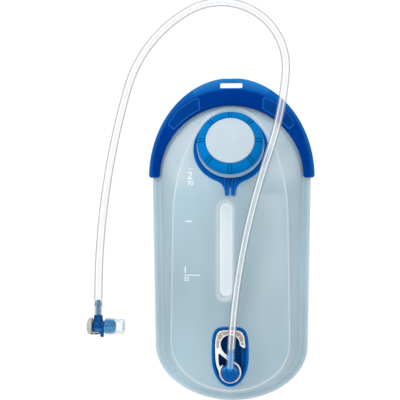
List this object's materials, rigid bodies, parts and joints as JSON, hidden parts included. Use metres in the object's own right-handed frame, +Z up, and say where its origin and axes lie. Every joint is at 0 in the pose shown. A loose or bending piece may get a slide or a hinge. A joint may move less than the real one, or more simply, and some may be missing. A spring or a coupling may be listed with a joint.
{
  "type": "hydration bladder",
  "caption": "Soft drinking-water reservoir with a screw filling cap, a stiff slotted hanger arch, a quick-release outlet valve and a curved clear hose ending in a bite valve.",
  "frame": {"origin": "centre of the hanging slot, on the hanger's flat back face", "axes": "+Z up along the reservoir towards the slot, +Y out of the back face, +X to the right seen from the front, which faces -Y"},
  "size_m": [0.2527, 0.0765, 0.4537],
  "materials": {
    "film": "clear blue-tinted film with a soft satin sheen",
    "hanger_blue": "moulded, fine grain, brighter on the outer bevel",
    "grip_rubber": "soft overmould with a small diamond pattern",
    "pin_plastic": "plain moulded posts",
    "collar_blue": "smooth moulded",
    "silicone": "plain white silicone",
    "cap_clear": "frosted translucent moulding",
    "cap_blue": "satin overmould",
    "port_blue": "smooth moulded",
    "white_plastic": "white acetal",
    "spring_steel": "drawn stainless wire",
    "black_rubber": "moulded ring",
    "plug_blue": "smooth moulded",
    "hose_clear": "clear soft tube",
    "barb_teal": "smooth moulded",
    "elbow_blue": "smooth moulded",
    "knob_grey": "milky translucent moulding",
    "core_blue": "clear tinted moulding",
    "sheath_clear": "clear silicone"
  },
  "bodies": {
    "reservoir": {"back_film": "film", "front_film": "film", "hanger_back": "hanger_blue", "hanger_front": "hanger_blue", "grip_pad_left": "grip_rubber", "grip_pad_right": "grip_rubber", "hanger_pins": "pin_plastic", "fill_collar": "collar_blue", "port_base": "port_blue", "port_retainer": "white_plastic", "port_seal": "silicone", "poppet_spring": "spring_steel"},
    "cap_washer": {"cap_gasket": "silicone"},
    "cap": {"cap_body": "cap_clear", "cap_grip_ring": "cap_blue"},
    "latch": {"latch_plate": "white_plastic"},
    "plug_rings": {"plug_o_rings": "black_rubber"},
    "plug": {"plug_elbow": "plug_blue", "hose_root": "hose_clear"},
    "poppet_valve": {"poppet": "white_plastic"},
    "hose_rising": {"hose_bend_low": "hose_clear", "hose_rise": "hose_clear"},
    "hose_top": {"hose_bend_mid": "hose_clear", "hose_arch": "hose_clear"},
    "hose_falling": {"hose_bend_high": "hose_clear", "hose_fall": "hose_clear"},
    "hose_tail": {"hose_bend_end": "hose_clear", "hose_end": "hose_clear", "hose_barb": "barb_teal"},
    "mouthpiece": {"bite_elbow": "elbow_blue", "bite_core": "core_blue", "bite_sheath": "sheath_clear"},
    "shutoff": {"valve_barrel": "white_plastic", "barrel_o_rings": "black_rubber", "shutoff_knob": "knob_grey"}
  },
  "joints": [
    {"name": "cap_lift", "type": "slide", "parent": "reservoir", "child": "cap_washer", "axis": [0, -0.9397, 0.342], "range_m": [0, 0.0101]},
    {"name": "cap_turn", "type": "hinge", "parent": "cap_washer", "child": "cap", "pos_m": [0, -0.02333, -0.07489], "axis": [0, -0.9397, 0.342], "range_deg": [0, 360]},
    {"name": "latch_press", "type": "hinge", "parent": "reservoir", "child": "latch", "pos_m": [0, -0.042, -0.2962], "axis": [-1, 0, 0], "range_deg": [0, 4], "stiffness_Nm_per_rad": 0.5},
    {"name": "plug_pull", "type": "slide", "parent": "reservoir", "child": "plug_rings", "axis": [0, -1, 0], "range_m": [0, 0.02]},
    {"name": "plug_swivel", "type": "hinge", "parent": "plug_rings", "child": "plug", "pos_m": [0, -0.05, -0.3262], "axis": [0, -1, 0], "range_deg": [-120, 120]},
    {"name": "poppet_close", "type": "slide", "parent": "reservoir", "child": "poppet_valve", "axis": [0, -1, 0], "range_m": [0, 0.0023], "deforming": ["poppet_spring"]},
    {"name": "hose_flex_low", "type": "hinge", "parent": "plug", "child": "hose_rising", "pos_m": [0.00683, -0.05612, -0.23871], "axis": [1, 0, 0], "range_deg": [0, 25], "stiffness_Nm_per_rad": 0.2, "springref_deg": -1.72, "deforming": ["hose_bend_low"]},
    {"name": "hose_flex_mid", "type": "hinge", "parent": "hose_rising", "child": "hose_top", "pos_m": [0.04566, -0.06717, -0.07409], "axis": [0, -1, 0], "range_deg": [-12, 12], "stiffness_Nm_per_rad": 0.2, "springref_deg": -10.46, "deforming": ["hose_bend_mid"]},
    {"name": "hose_flex_high", "type": "hinge", "parent": "hose_top", "child": "hose_falling", "pos_m": [-0.05106, -0.06717, 0.07029], "axis": [-1, 0, 0], "range_deg": [0, 30], "stiffness_Nm_per_rad": 0.2, "springref_deg": -1.15, "deforming": ["hose_bend_high"]},
    {"name": "hose_flex_end", "type": "hinge", "parent": "hose_falling", "child": "hose_tail", "pos_m": [-0.13636, -0.06717, -0.12518], "axis": [0, -1, 0], "range_deg": [-15, 15], "stiffness_Nm_per_rad": 0.2, "springref_deg": -0.09, "deforming": ["hose_bend_end"]},
    {"name": "bite_swivel", "type": "hinge", "parent": "hose_tail", "child": "mouthpiece", "pos_m": [-0.14452, -0.06717, -0.27231], "axis": [0, 0, 1], "continuous": true},
    {"name": "shutoff_turn", "type": "hinge", "parent": "mouthpiece", "child": "shutoff", "pos_m": [-0.14452, -0.06717, -0.27231], "axis": [-1, 0, 0], "range_deg": [0, 90]}
  ],
  "couplings": [
    {"joint": "cap_lift", "follows": "cap_turn", "m_per_rad": 0.0015915},
    {"joint": "poppet_close", "follows": "plug_pull", "ratio": 0.11}
  ]
}
